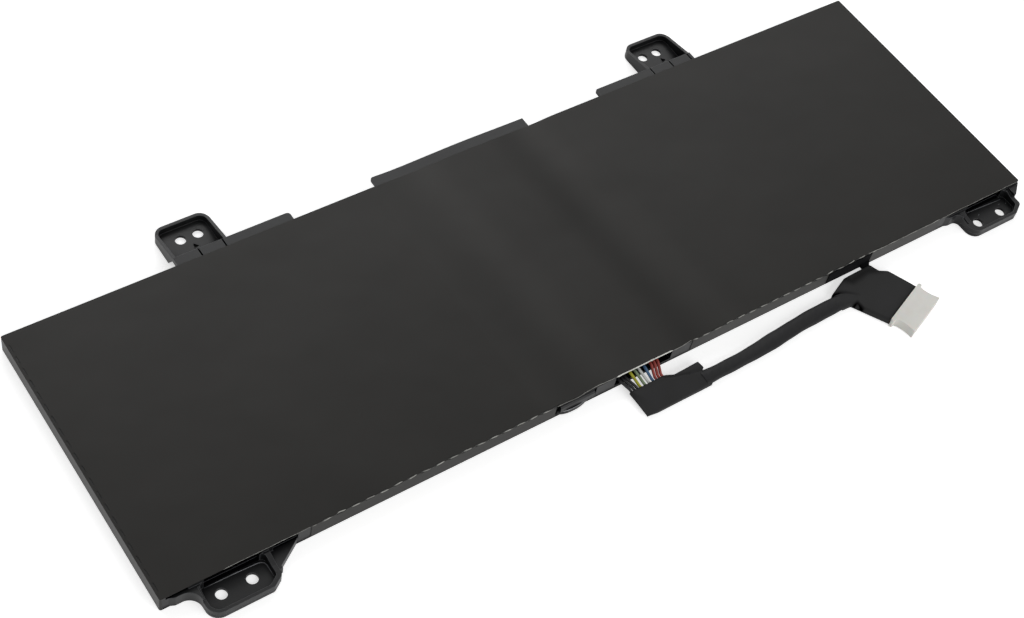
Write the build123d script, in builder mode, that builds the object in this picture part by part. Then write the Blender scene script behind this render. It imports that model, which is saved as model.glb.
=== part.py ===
from build123d import *
import math
import os

os.makedirs("parts", exist_ok=True)

# Flat laptop battery pack. Sizes are in millimetres.
# X runs along the pack, Y towards its back edge and Z up out of its upper face.
# The origin is at the middle of the underside.

# Envelope
pack_length = 267.0
pack_width = 80.0
pack_thickness = 4.8
film_thickness = 0.12
skirt_rise = 0.3
frame_corner_radius = 0.4
fit = 0.04

# Frame walls and the bay between the cells
side_wall = 1.2
long_wall = 1.7
bay_length = 57.0
bay_wall = 1.2
bay_floor = 0.6
rib_width = 1.0
rib_height = 0.7

# Relief of the upper film over the bay
dip_depth = 0.35
ridge_drop = 0.06

# Ears
ear_floor = 0.8
ear_rim = 0.85
ear_rim_height = 2.6
screw_hole_diameter = 2.85
back_ear_width = 15.1
back_ear_reach = 14.4
back_ear_left_x = -79.38
back_ear_right_x = 70.28
back_hole_spacing = 4.9
back_hole_inset = 4.75
back_hole_shift = 0.73
back_ear_corner = 2.9
ear_lift = 3.0
climb_slope = 0.7
slit_width = 0.45
slit_depth = 1.1
left_ear_slits = (-0.65, 6.1)
right_ear_slits = (-6.95, -0.1, 6.45)
wedge_depth = 0.55
left_ear_wedge_x = 0.0
right_ear_wedge_x = 0.9
parting_height = 1.0
parting_width = 0.2
parting_depth = 0.15
ear_round = 1.3
front_left_ear_inset = 8.5
front_left_ear_width = 18.55
front_left_ear_reach = 8.2
front_left_hole_offset = -0.5
front_left_hole_spacing = 7.75
front_left_hole_inset = 5.0
front_left_left_rim = ear_rim
front_left_corner = 3.3
front_left_cut = (2.9, 2.0)
front_left_right_rim = 1.2
front_right_ear_inset = 3.6
front_right_ear_width = 19.8
front_right_ear_reach = 7.5
front_right_corner = 3.0
front_right_cut = (3.5, 2.1)
front_right_left_rim = 2.0
front_right_right_rim = 1.3
rim_slot_offset = 0.6
rim_slot_width = 0.4
rim_slot_depth = 1.2
front_right_hole_offset = -0.4
front_right_hole_spacing = 8.65
front_right_hole_inset = 3.4
flare_step = 0.45
front_left_flare = (3.3, 1.6, 1.4)
front_right_flare = (1.6, 1.4, 1.8)
wall_recess = 1.1
wall_groove = 0.6
left_recess_insets = (2.2, 1.8)
right_recess_insets = (3.6, 2.7)
left_groove_insets = (1.5, 1.4)
gusset_groove = (1.1, 7.6)
wall_web_height = 3.5
left_gusset_height = 2.25
right_gusset_height = 4.0

# Lips along the back edge
lip_thickness = 0.7
lip_reach = 2.65
lip_corner = 1.0
left_lip_end_x = -54.0
middle_lip_x0 = -29.6
middle_lip_x1 = 19.4
middle_lip_extra_reach = 0.5
right_lip_start_x = 43.8

# Wire exit and clip bar in the front wall
exit_x0 = -8.7
exit_x1 = 9.1
clip_x0 = -25.9
clip_x1 = -15.6
clip_bulge = 0.7
clip_thickness = 2.4
clip_recess_length = 1.0

# Stretches of the front edge where the film folds down, the outer ends as distances from the pack's ends
left_skirt_inset = 38.0
left_skirt_x1 = -27.0
right_skirt_x0 = 15.5
right_skirt_inset = 30.5
film_notch_gap = 0.4

# Perforated folds
dash_length = 2.2
dash_width = 0.28
dash_pitch = 3.8
side_dash_margin = 4.0
front_dash_start = 3.9
front_right_dash_end = 8.9

# Cells
cell_gap = 0.3
cell_corner = 2.0
cell_edge = 0.8
terrace_length = 5.0
terrace_thickness = 0.27
cell_tape_thickness = 0.1
tab_width = 8.0
tab_length = 10.0
tab_thickness = 0.15
tab_offset = 19.0
link_width = 5.0
tab_tape_thickness = 0.08
seam_thickness = 0.35

# Circuit board
board_front_gap = 4.2
board_back_gap = 2.2
board_width = 16.0
board_thickness = 0.8
board_x = -2.0
insulator_thickness = 0.1
peg_diameter = 1.4
peg_hole_clearance = 0.1
weld_plate_length = 3.5
weld_plate_width = 7.0
chip_height = 1.0
foam_width = 9.0
foam_end_gap = 10.0

# Wires
wire_diameter = 0.86
wire_sides = 6
wire_gap = 0.09
pad_pitch = 1.35
pad_length = 1.6
exit_drop = 1.8
black_exit_drop = 2.65
first_exit_x = -7.2
first_wrap_x = -6.3
wire_reach = 3.8

# Lead and plug, and the share of a straight run that the arc at either end may take
bend_share = 0.45
wrap_thickness = 2.1
wrap_rise = 0.15
wrap_edge = 0.35
sleeve_width = 3.2
sleeve_height = 2.1
tape_thickness = 0.15
tape_x0 = 62.0
tape_x1 = 77.3
tape_tail_x0 = 74.0
plug_flange_width = 16.2
plug_flange_depth = 1.1
plug_front_width = 14.8
plug_waist_width = 13.7
plug_depth = 6.8
plug_height = 2.9
plug_angle = 20.5
plug_x = 75.7
plug_reach = 16.0
contact_count = 10
contact_pitch = 1.3
contact_width = 0.5
contact_length = 3.2
socket_width = 0.8
socket_height = 1.3

# Worked out from the sizes above
half_length = pack_length / 2
half_width = pack_width / 2
frame_length = pack_length - 2 * film_thickness
frame_width = pack_width - 2 * film_thickness
frame_front = -frame_width / 2
frame_back = frame_width / 2
frame_top = pack_thickness - film_thickness
film_corner_radius = frame_corner_radius + film_thickness
bay_half = bay_length / 2
bay_inner_width = frame_width - 2 * long_wall
cell_bay_x0 = bay_half + bay_wall
cell_bay_x1 = frame_length / 2 - side_wall
cell_bay_length = cell_bay_x1 - cell_bay_x0
cell_bay_centre = (cell_bay_x0 + cell_bay_x1) / 2
floor_top = film_thickness + bay_floor
board_bottom = floor_top + insulator_thickness
board_top = board_bottom + board_thickness
tab_top = board_top + tab_thickness
link_top = tab_top + tab_thickness
screw_hole_radius = screw_hole_diameter / 2
board_front = -bay_inner_width / 2 + board_front_gap
board_length = bay_inner_width / 2 - board_back_gap - board_front
board_y = board_front + board_length / 2
front_left_ear_x0 = -half_length + front_left_ear_inset
front_left_ear_x1 = front_left_ear_x0 + front_left_ear_width
front_right_ear_x1 = half_length - front_right_ear_inset
front_right_ear_x0 = front_right_ear_x1 - front_right_ear_width
left_gusset_edge = [
    (front_left_ear_x1 + 0.9, -half_width - 4.9),
    (front_left_ear_x1 + 0.9, -half_width - 4.2),
    (front_left_ear_x1 + 7.2, -half_width),
]
right_gusset_edge = [
    (front_right_ear_x1, -half_width - 2.9),
    (frame_length / 2, -half_width - 0.05),
]
rim_slot_front = -half_width - 4.1
rim_slot_back = -half_width - 0.9
left_skirt_x0 = -half_length + left_skirt_inset
right_skirt_x1 = half_length - right_skirt_inset


def relief_section(length, bottom, lowering):
    """Section across the pack, whose upper line is the relief of the film lowered by a given amount."""
    top = pack_thickness - lowering
    ridge_left = board_x - board_width / 2 + 2
    ridge_right = board_x + board_width / 2 - 2
    with BuildSketch() as section:
        with BuildLine():
            Spline(
                (-bay_half - 2.5, top),
                (-bay_half + 4.5, top - dip_depth * 0.85),
                ((ridge_left - bay_half) / 2 - 1.0, top - dip_depth),
                (ridge_left, top - ridge_drop),
                (ridge_right, top - ridge_drop),
                ((ridge_right + bay_half) / 2 + 1.5, top - dip_depth),
                (bay_half - 6.5, top - dip_depth * 0.85),
                (bay_half, top),
                tangents=[(1, 0), (1, 0)],
            )
            Polyline(
                (bay_half, top),
                (length / 2, top),
                (length / 2, bottom),
                (-length / 2, bottom),
                (-length / 2, top),
                (-bay_half - 2.5, top),
            )
        make_face()
    return section.sketch


def pack_block(length, width, bottom, lowering, radius):
    """Solid block of the pack's plan, with rounded corners and the film's relief on its upper face."""
    section = relief_section(length, bottom, lowering)
    with BuildPart() as block:
        with BuildSketch(Plane.XZ):
            add(section)
        extrude(amount=width / 2, both=True)
        fillet(block.edges().filter_by(Axis.Z), radius)
    return block.part


def span(x0, x1):
    """Middle and length of a stretch along X."""
    return (x0 + x1) / 2, x1 - x0


def back_ear(centre_x, hole_x, slits, wedge_x):
    """Screw ear of the back edge: a tray with a sloping rim, whose floor climbs to the top of the wall."""
    tip = half_width + back_ear_reach
    root = frame_back - long_wall / 2
    climb = half_width + 5.0
    flange = half_width + lip_reach
    climb_foot = climb + 0.35
    tray_reach = tip - ear_rim - root
    with BuildPart() as tray:
        with BuildSketch(Plane.XY) as tray_plan:
            with Locations((centre_x, root + tray_reach / 2)):
                Rectangle(back_ear_width - 2 * ear_rim, tray_reach)
            fillet(tray_plan.vertices().group_by(Axis.Y)[-1], back_ear_corner - ear_rim)
        extrude(amount=2 * pack_thickness)
        with BuildSketch(Plane.YZ.offset(centre_x)):
            with BuildLine():
                Polyline(
                    (tip, ear_floor),
                    (climb_foot, ear_floor),
                    (flange, (climb_foot - flange) / climb_slope + ear_floor),
                    (flange, 2 * pack_thickness),
                    (tip, 2 * pack_thickness),
                    close=True,
                )
            make_face()
        extrude(amount=back_ear_width / 2, both=True, mode=Mode.INTERSECT)
    with BuildPart() as ear:
        with BuildSketch(Plane.XY) as plan:
            with Locations((centre_x, (root + tip) / 2)):
                Rectangle(back_ear_width, tip - root)
            fillet(plan.vertices().group_by(Axis.Y)[-1], back_ear_corner)
        extrude(amount=frame_top)
        with BuildSketch(Plane.YZ):
            with BuildLine():
                Polyline(
                    (root, ear_lift),
                    (climb - climb_slope * ear_lift, ear_lift),
                    (climb, 0),
                    (tip, 0),
                    (tip, ear_rim_height),
                    (tip - 2, ear_rim_height),
                    (flange, frame_top - 0.35),
                    (flange, frame_top),
                    (root, frame_top),
                    close=True,
                )
            make_face()
        extrude(amount=pack_length / 2, both=True, mode=Mode.INTERSECT)
        add(tray.part, mode=Mode.SUBTRACT)
        with BuildSketch(Plane.XY):
            with Locations((hole_x, tip - back_hole_inset)):
                with GridLocations(back_hole_spacing, 1, 2, 1):
                    Circle(screw_hole_radius)
        extrude(amount=ear_floor, mode=Mode.SUBTRACT)
        # Three-cornered pocket in the tray's floor, at the foot of its climbing end
        with BuildSketch(Plane.XY.offset(ear_floor)):
            with BuildLine():
                wedge_start = centre_x + wedge_x
                Polyline(
                    (wedge_start, climb_foot + 0.1),
                    (wedge_start + 1.6, climb_foot + 0.7),
                    (wedge_start + 0.6, climb_foot + 1.9),
                    close=True,
                )
            make_face()
        extrude(amount=-wedge_depth, mode=Mode.SUBTRACT)
        with BuildSketch(Plane.XY.offset(frame_top)):
            for slit_x in slits:
                with Locations((centre_x + slit_x, (half_width + flange) / 2)):
                    Rectangle(slit_width, flange - half_width + 0.4)
        extrude(amount=-slit_depth, mode=Mode.SUBTRACT)
    return ear.part


def ear_plan(x0, x1, tip, back, corner, cut):
    """Plan of a front ear: its left corner is rounded, and its right corner is cut off at a slant."""
    with BuildSketch() as plan:
        with BuildLine():
            Polyline((x0, back), (x0, tip), (x1 - cut[0], tip), (x1, tip + cut[1]), (x1, back), close=True)
        make_face()
        fillet(plan.vertices().group_by(Axis.X)[-1].sort_by(Axis.Y)[0], ear_round)
        fillet(plan.vertices().group_by(Axis.Y)[0].sort_by(Axis.X)[-1], ear_round)
        fillet(plan.vertices().group_by(Axis.Y)[0].sort_by(Axis.X)[0], corner)
    return plan.sketch


def front_ear(x0, x1, reach, corner, cut, rims, hole_x, hole_spacing, hole_inset):
    """Screw ear of the front edge: a shallow tray with two screw holes and a rim that rises to the wall."""
    tip = -half_width - reach
    root = frame_front + long_wall / 2
    slant = cut[1] / cut[0]
    outline = ear_plan(x0, x1, tip, root, corner, cut)
    tray_cut_x = cut[0] - 0.4 * rims[1]
    tray = ear_plan(
        x0 + rims[0],
        x1 - rims[1],
        tip + ear_rim,
        frame_front,
        corner - ear_rim,
        (tray_cut_x, tray_cut_x * slant),
    )
    with BuildPart() as ear:
        with BuildSketch(Plane.XY):
            add(outline)
        extrude(amount=frame_top)
        with BuildSketch(Plane.YZ):
            with BuildLine():
                Polyline(
                    (tip, 0),
                    (tip, ear_rim_height),
                    (-half_width - 3.5, ear_rim_height),
                    (-half_width - 1.75, ear_rim_height + 0.4),
                    (frame_front - 0.5, wall_web_height),
                    (root, wall_web_height),
                    (root, 0),
                    close=True,
                )
            make_face()
        extrude(amount=pack_length / 2, both=True, mode=Mode.INTERSECT)
        with BuildSketch(Plane.XY.offset(ear_floor)) as tray_floor:
            add(tray)
            fillet(tray_floor.vertices().group_by(Axis.Y)[-1], ear_round)
        extrude(amount=pack_thickness, mode=Mode.SUBTRACT)
        with BuildSketch(Plane.XY):
            with Locations((hole_x, tip + hole_inset)):
                with GridLocations(hole_spacing, 1, 2, 1):
                    Circle(screw_hole_radius)
        extrude(amount=ear_floor, mode=Mode.SUBTRACT)
        # Shallow groove round the outside, where the halves of the mould meet
        with BuildSketch(Plane.XY.offset(parting_height)):
            add(outline)
            offset(outline, amount=-parting_depth, mode=Mode.SUBTRACT)
        extrude(amount=parting_width, mode=Mode.SUBTRACT)
    return ear.part


def flare(ear_side_x, radius, foot, toe):
    """Web from an ear's left side to the front wall, with a concave arc, a short foot and a slanting toe."""
    root = frame_front + long_wall / 2
    foot_y = -half_width - flare_step
    set_in = radius * (1 - math.cos(math.pi / 4))
    foot_x = ear_side_x - radius - foot
    inside_x = ear_side_x + ear_rim / 2
    with BuildPart() as web:
        with BuildSketch(Plane.XY):
            with BuildLine():
                ThreePointArc(
                    (ear_side_x, foot_y - radius),
                    (ear_side_x - set_in, foot_y - set_in),
                    (ear_side_x - radius, foot_y),
                )
                Polyline(
                    (ear_side_x - radius, foot_y),
                    (foot_x, foot_y),
                    (foot_x - toe, frame_front),
                    (foot_x - toe, root),
                    (inside_x, root),
                    (inside_x, foot_y - radius),
                    (ear_side_x, foot_y - radius),
                )
            make_face()
        extrude(amount=wall_web_height)
    return web.part


def gusset(ear_side_x, points, height):
    """Low plate between an ear's right side and the front wall, from the points of its free edge."""
    root = frame_front + long_wall / 2
    inside_x = ear_side_x - ear_rim / 2
    with BuildPart() as plate:
        with BuildSketch(Plane.XY):
            with BuildLine():
                Polyline(
                    (inside_x, root),
                    (inside_x, points[0][1]),
                    *points,
                    (points[-1][0], root),
                    close=True,
                )
            make_face()
        extrude(amount=height)
    return plate.part


def lip(x0, x1, reach, rounded_ends):
    """Thin flange of the back edge, level with the top of the frame, with its free ends rounded."""
    middle, length = span(x0, x1)
    root = frame_back - long_wall / 2
    with BuildPart() as flange:
        with BuildSketch(Plane.XY.offset(frame_top - lip_thickness)) as plan:
            with Locations((middle, (root + half_width + reach) / 2)):
                Rectangle(length, half_width + reach - root)
            corners = plan.vertices().group_by(Axis.Y)[-1].sort_by(Axis.X)
            for end in rounded_ends:
                fillet(corners[end], lip_corner)
        extrude(amount=lip_thickness)
    return flange.part


def wall_cut(x0, x1, bottom, depth):
    """Recess in the front wall, open below the film, given its ends, its floor and its depth."""
    middle, length = span(x0, x1)
    with BuildPart() as cut:
        with BuildSketch(Plane.XY.offset(bottom)):
            with Locations((middle, frame_front + depth / 2)):
                Rectangle(length, depth)
        extrude(amount=pack_thickness - bottom)
    return cut.part


def rim_slot(x, y0, y1):
    """Narrow slot sunk in the top of an ear's rim, along Y."""
    with BuildPart() as slot:
        with BuildSketch(Plane.XY.offset(ear_rim_height - rim_slot_depth)):
            with Locations((x, (y0 + y1) / 2)):
                Rectangle(rim_slot_width, abs(y1 - y0))
        extrude(amount=pack_thickness)
    return slot.part


# Frame: one moulding with the perimeter walls, the bay for the circuit board, the ears, lips and clip bar
frame_blank = pack_block(frame_length, frame_width, film_thickness, film_thickness, frame_corner_radius)
left_back_ear = back_ear(back_ear_left_x, back_ear_left_x + back_hole_shift, left_ear_slits, left_ear_wedge_x)
right_back_ear = back_ear(
    back_ear_right_x,
    back_ear_right_x - back_hole_shift,
    right_ear_slits,
    right_ear_wedge_x,
)
left_front_ear = front_ear(
    front_left_ear_x0,
    front_left_ear_x1,
    front_left_ear_reach,
    front_left_corner,
    front_left_cut,
    (front_left_left_rim, front_left_right_rim),
    (front_left_ear_x0 + front_left_ear_x1) / 2 + front_left_hole_offset,
    front_left_hole_spacing,
    front_left_hole_inset,
)
right_front_ear = front_ear(
    front_right_ear_x0,
    front_right_ear_x1,
    front_right_ear_reach,
    front_right_corner,
    front_right_cut,
    (front_right_left_rim, front_right_right_rim),
    (front_right_ear_x0 + front_right_ear_x1) / 2 + front_right_hole_offset,
    front_right_hole_spacing,
    front_right_hole_inset,
)
ear_webs = [
    flare(front_left_ear_x0, *front_left_flare),
    flare(front_right_ear_x0, *front_right_flare),
    gusset(front_left_ear_x1, left_gusset_edge, left_gusset_height),
    gusset(front_right_ear_x1, right_gusset_edge, right_gusset_height),
]
back_left_ear_side = back_ear_left_x + back_ear_width / 2
back_right_ear_side = back_ear_right_x - back_ear_width / 2
back_lips = [
    lip(back_left_ear_side - ear_rim / 2, left_lip_end_x, lip_reach, [1]),
    lip(middle_lip_x0, middle_lip_x1, lip_reach + middle_lip_extra_reach, [0, 1]),
    lip(right_lip_start_x, back_right_ear_side + ear_rim / 2, lip_reach, [0]),
]
left_recess = (front_left_ear_x0 + left_recess_insets[0], front_left_ear_x1 - left_recess_insets[1])
right_recess = (front_right_ear_x0 + right_recess_insets[0], front_right_ear_x1 - right_recess_insets[1])
left_groove = (-half_length + left_groove_insets[0], front_left_ear_x0 - left_groove_insets[1])
right_groove = (front_left_ear_x1 + gusset_groove[0], front_left_ear_x1 + gusset_groove[1])
wall_cuts = [
    wall_cut(*left_recess, ear_floor, wall_recess),
    wall_cut(*right_recess, ear_floor, wall_recess),
    wall_cut(*left_groove, wall_web_height, wall_groove),
    wall_cut(*right_groove, left_gusset_height, wall_groove),
    wall_cut(clip_x0 - clip_recess_length, clip_x0, ear_floor, wall_groove),
    wall_cut(clip_x1, clip_x1 + clip_recess_length, ear_floor, wall_groove),
    wall_cut(exit_x0, exit_x1, floor_top, long_wall + 1),
    rim_slot(front_right_ear_x0 + rim_slot_offset, rim_slot_front, rim_slot_back),
]
frame_envelope = pack_block(pack_length + 10, pack_width + 60, 0, film_thickness, frame_corner_radius)
clip_middle, clip_length = span(clip_x0, clip_x1)
board_side = board_width / 2 + fit
peg_points = [
    (board_x, board_y + board_length / 2 - 3.0),
    (board_x, board_y - board_length / 2 + 11.0),
]

with BuildPart() as frame:
    add(frame_blank)
    with BuildSketch(Plane.XY):
        with Locations((-cell_bay_centre, 0), (cell_bay_centre, 0)):
            Rectangle(cell_bay_length, bay_inner_width)
    extrude(amount=pack_thickness, mode=Mode.SUBTRACT)
    with BuildSketch(Plane.XY.offset(floor_top)):
        Rectangle(bay_length, bay_inner_width)
    extrude(amount=pack_thickness, mode=Mode.SUBTRACT)
    for ear in (left_back_ear, right_back_ear, left_front_ear, right_front_ear):
        add(ear)
    for web in ear_webs + back_lips:
        add(web)
    for cut in wall_cuts:
        add(cut, mode=Mode.SUBTRACT)
    # Clip bar, a rounded bead that stands out of the front wall between two small recesses
    with BuildSketch(Plane.YZ.offset(clip_middle)) as bead:
        with Locations((frame_front, (frame_top + ear_floor) / 2)):
            RectangleRounded(2 * clip_bulge, clip_thickness, clip_bulge * 0.85)
    extrude(amount=clip_length / 2, both=True)
    # Notches that the cell tabs pass through
    with BuildSketch(Plane.XY.offset(board_top)):
        with GridLocations(2 * (bay_half + bay_wall / 2), 2 * tab_offset, 2, 2):
            Rectangle(bay_wall + 0.2, tab_width + 0.6)
    extrude(amount=pack_thickness, mode=Mode.SUBTRACT)
    # Rests below the tabs and cross ribs, each from a wall of the bay to the rail beside the board
    for side in (-1, 1):
        rail_x = board_x + side * (board_side + rib_width / 2)
        rib_middle, rib_length = span(rail_x, side * bay_half)
        with BuildSketch(Plane.XY.offset(floor_top)):
            with Locations((rail_x, board_y)):
                Rectangle(rib_width, board_length)
            with Locations((rib_middle, 0)):
                with GridLocations(1, 2 * bay_inner_width / 6, 1, 3):
                    Rectangle(abs(rib_length), rib_width)
        extrude(amount=rib_height)
        with BuildSketch(Plane.XY.offset(floor_top)):
            with Locations((rib_middle, 0)):
                with GridLocations(1, 2 * tab_offset, 1, 2):
                    Rectangle(abs(rib_length), 2 * rib_width)
        extrude(amount=board_top - floor_top)
    # Pegs that place the circuit board
    with BuildSketch(Plane.XY.offset(floor_top)):
        with Locations(*peg_points):
            Circle(peg_diameter / 2)
    extrude(amount=board_top - floor_top)
    # The top follows the relief, and the lower film has its place inside the pack's outline
    add(frame_envelope, mode=Mode.INTERSECT)
    with BuildSketch(Plane.XY):
        RectangleRounded(pack_length, pack_width, film_corner_radius)
    extrude(amount=film_thickness, mode=Mode.SUBTRACT)
frame.part.label = "frame"
export_step(frame.part, "parts/frame.step")

# Upper film: a thin cover with the relief over the bay, folded down where nothing sticks out of the edges
film_outer = pack_block(pack_length, pack_width, skirt_rise, 0, film_corner_radius)
film_space = pack_block(frame_length, frame_width, 0, film_thickness, frame_corner_radius)
film_underside = pack_block(pack_length + 10, pack_width + 10, 0, film_thickness, frame_corner_radius)
corner_x = half_length - film_corner_radius
back_ear_half = back_ear_width / 2
edge_openings = [
    (-half_width, -corner_x, left_skirt_x0),
    (-half_width, left_skirt_x1, right_skirt_x0),
    (-half_width, right_skirt_x1, half_length + film_notch_gap),
    (half_width, back_ear_left_x - back_ear_half - film_notch_gap, left_lip_end_x + film_notch_gap),
    (half_width, middle_lip_x0 - film_notch_gap, middle_lip_x1 + film_notch_gap),
    (half_width, right_lip_start_x - film_notch_gap, back_ear_right_x + back_ear_half + film_notch_gap),
]
side_dash_count = int((pack_width - side_dash_margin) / dash_pitch)
front_folds = [
    (left_skirt_x0 + front_dash_start, left_skirt_x1),
    (right_skirt_x0 + front_dash_start, right_skirt_x1 - front_right_dash_end),
]

with BuildPart() as film_skirts:
    add(film_outer)
    add(film_space, mode=Mode.SUBTRACT)
    with BuildSketch(Plane.XY):
        for edge_y, x0, x1 in edge_openings:
            middle, length = span(x0, x1)
            with Locations((middle, edge_y)):
                Rectangle(length, 2 * film_corner_radius)
    extrude(amount=2 * pack_thickness, mode=Mode.SUBTRACT)

with BuildPart() as top_film:
    add(film_outer)
    add(film_underside, mode=Mode.SUBTRACT)
    add(film_skirts.part)
    # Dashes of the perforated folds, along the left edge and the two front folds
    with BuildSketch(Plane.XY.offset(pack_thickness)):
        with Locations((-half_length + 0.7, -0.4)):
            with GridLocations(1, dash_pitch, 1, side_dash_count):
                Rectangle(dash_width, dash_length)
        for x0, x1 in front_folds:
            count = round((x1 - x0) / dash_pitch) + 1
            with Locations((x0 + (count - 1) * dash_pitch / 2, -half_width + 0.1)):
                with GridLocations(dash_pitch, 1, count, 1):
                    Rectangle(dash_length, dash_width)
    extrude(amount=-3 * film_thickness, mode=Mode.SUBTRACT)
top_film.part.label = "top_film"
export_step(top_film.part, "parts/top_film.step")

# Lower film, flat under the whole pack
with BuildPart() as bottom_film:
    with BuildSketch(Plane.XY):
        RectangleRounded(pack_length, pack_width, film_corner_radius)
    extrude(amount=film_thickness)
bottom_film.part.label = "bottom_film"
export_step(bottom_film.part, "parts/bottom_film.step")

# Adhesive sheets under the cells, and the cells, each a pouch with a terrace on the side of the bay
cell_bottom = film_thickness + cell_tape_thickness
cell_top = frame_top - fit
cell_x0 = cell_bay_x0 + cell_gap
cell_x1 = cell_bay_x1 - cell_gap
cell_width = bay_inner_width - 2 * cell_gap
pouch_middle, pouch_length = span(cell_x0 + terrace_length, cell_x1)

with BuildPart() as cell_tape_right:
    with BuildSketch(Plane.XY.offset(film_thickness)):
        with Locations((pouch_middle, 0)):
            Rectangle(pouch_length - 6, cell_width - 6)
    extrude(amount=cell_tape_thickness)
cell_tape_right.part.label = "cell_tape_right"
export_step(cell_tape_right.part, "parts/cell_tape_right.step")

with BuildPart() as cell_tape_left:
    mirror(cell_tape_right.part, about=Plane.YZ)
cell_tape_left.part.label = "cell_tape_left"
export_step(cell_tape_left.part, "parts/cell_tape_left.step")

with BuildPart() as cell_right:
    with BuildSketch(Plane.XY.offset(cell_bottom)):
        with Locations((pouch_middle, 0)):
            RectangleRounded(pouch_length, cell_width - 2 * seam_thickness, cell_corner)
    extrude(amount=cell_top - cell_bottom)
    chamfer(cell_right.faces().sort_by(Axis.Z)[-1].edges(), cell_edge)
    with BuildSketch(Plane.XY.offset(tab_top - terrace_thickness)):
        with Locations((cell_x0 + terrace_length, 0)):
            Rectangle(2 * terrace_length, cell_width - 2 * cell_corner)
    extrude(amount=terrace_thickness)
    # Side seams, folded up against the pouch
    with BuildSketch(Plane.XY.offset(cell_bottom + 0.5)):
        with GridLocations(1, cell_width - seam_thickness, 1, 2):
            with Locations((pouch_middle, 0)):
                Rectangle(pouch_length - 2 * cell_corner, seam_thickness)
    extrude(amount=cell_top - cell_bottom - 0.5 - cell_edge)
cell_right.part.label = "cell_right"
export_step(cell_right.part, "parts/cell_right.step")

with BuildPart() as cell_left:
    mirror(cell_right.part, about=Plane.YZ)
cell_left.part.label = "cell_left"
export_step(cell_left.part, "parts/cell_left.step")


def strip(x0, x1, y, width, bottom, thickness):
    """Flat strip between two places along X, given its middle line, width, underside and thickness."""
    middle, length = span(x0, x1)
    with BuildPart() as piece:
        with BuildSketch(Plane.XY.offset(bottom)):
            with Locations((middle, y)):
                Rectangle(abs(length), width)
        extrude(amount=thickness)
    return piece.part


# Tabs of the cells, the insulating tapes over their terraces and the strips welded from them to the board
weld_x = {
    "left": board_x - board_width / 2 + weld_plate_length / 2 + 0.3,
    "right": board_x + board_width / 2 - weld_plate_length / 2 - 0.3,
}
for side_name, side in (("left", -1), ("right", 1)):
    for tab_name, tab_y in (("positive", tab_offset), ("negative", -tab_offset)):
        tab_end = side * (cell_x0 - tab_length)
        tab = strip(side * cell_x0, tab_end, tab_y, tab_width, board_top, tab_thickness)
        tab.label = f"{tab_name}_tab_{side_name}"
        export_step(tab, f"parts/{tab.label}.step")
    for link_name, link_y in (("back", tab_offset), ("front", -tab_offset)):
        link_end = weld_x[side_name] - side * weld_plate_length / 2
        link_start = side * (cell_x0 - tab_length / 2)
        link = strip(link_start, link_end, link_y, link_width, tab_top, tab_thickness)
        link.label = f"link_{side_name}_{link_name}"
        export_step(link, f"parts/{link.label}.step")
    tape_near_x = side * (cell_x0 + 0.2)
    tape_far_x = side * (cell_x0 + terrace_length - 0.2)
    tape = strip(tape_near_x, tape_far_x, 0, cell_width - 4 * cell_corner, tab_top, tab_tape_thickness)
    tape.label = f"tab_tape_{side_name}"
    export_step(tape, f"parts/{tape.label}.step")

# Circuit board on its insulating sheet, placed by the pegs of the frame
with BuildPart() as board_insulator:
    with BuildSketch(Plane.XY.offset(floor_top)):
        with Locations((board_x, board_y)):
            Rectangle(board_width, board_length)
        with Locations(*peg_points):
            Circle(peg_diameter / 2 + peg_hole_clearance, mode=Mode.SUBTRACT)
    extrude(amount=insulator_thickness)
board_insulator.part.label = "board_insulator"
export_step(board_insulator.part, "parts/board_insulator.step")

with BuildPart() as circuit_board:
    with BuildSketch(Plane.XY.offset(board_bottom)):
        with Locations((board_x, board_y)):
            Rectangle(board_width, board_length)
        with Locations(*peg_points):
            Circle(peg_diameter / 2 + peg_hole_clearance, mode=Mode.SUBTRACT)
    extrude(amount=board_thickness)
circuit_board.part.label = "circuit_board"
export_step(circuit_board.part, "parts/circuit_board.step")

with BuildPart() as weld_plates:
    with BuildSketch(Plane.XY.offset(board_top)):
        for plate_x in weld_x.values():
            with Locations((plate_x, 0)):
                with GridLocations(1, 2 * tab_offset, 1, 2):
                    Rectangle(weld_plate_length, weld_plate_width)
    extrude(amount=tab_thickness)
weld_plates.part.label = "weld_plates"
export_step(weld_plates.part, "parts/weld_plates.step")


def board_block(name, x, y, length, width, height, chamfer_size=0.0):
    """Component on the circuit board, given its middle from the board's own middle, and its size."""
    with BuildPart() as block:
        with BuildSketch(Plane.XY.offset(board_top)):
            with Locations((board_x + x, board_y + y)):
                Rectangle(length, width)
        extrude(amount=height)
        if chamfer_size > 0:
            chamfer(block.faces().sort_by(Axis.Z)[-1].edges(), chamfer_size)
    block.part.label = name
    export_step(block.part, f"parts/{name}.step")


board_block("gauge_chip", 1.0, 4.0, 5.0, 5.0, chip_height * 0.9, 0.15)
board_block("protector_chip", -1.5, -9.0, 4.4, 6.4, chip_height, 0.2)
board_block("charge_mosfet", -2.0, -14.5, 5.0, 3.3, chip_height * 0.9, 0.1)
board_block("discharge_mosfet", 4.8, -9.5, 3.3, 3.3, chip_height * 0.9, 0.1)
board_block("fuse", 0.0, 13.0, 4.0, 3.2, chip_height)
board_block("sense_resistor", 0.5, 25.0, 3.2, 6.4, 0.6)
board_block("thermistor", -5.5, 0.0, 0.8, 1.6, 0.7)

with BuildPart() as capacitors:
    with BuildSketch(Plane.XY.offset(board_top)):
        with Locations((board_x - 4.8, board_y + 8.5)):
            with GridLocations(2.2, 1.6, 2, 4):
                Rectangle(1.6, 0.8)
    extrude(amount=0.8)
capacitors.part.label = "capacitors"
export_step(capacitors.part, "parts/capacitors.step")

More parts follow.
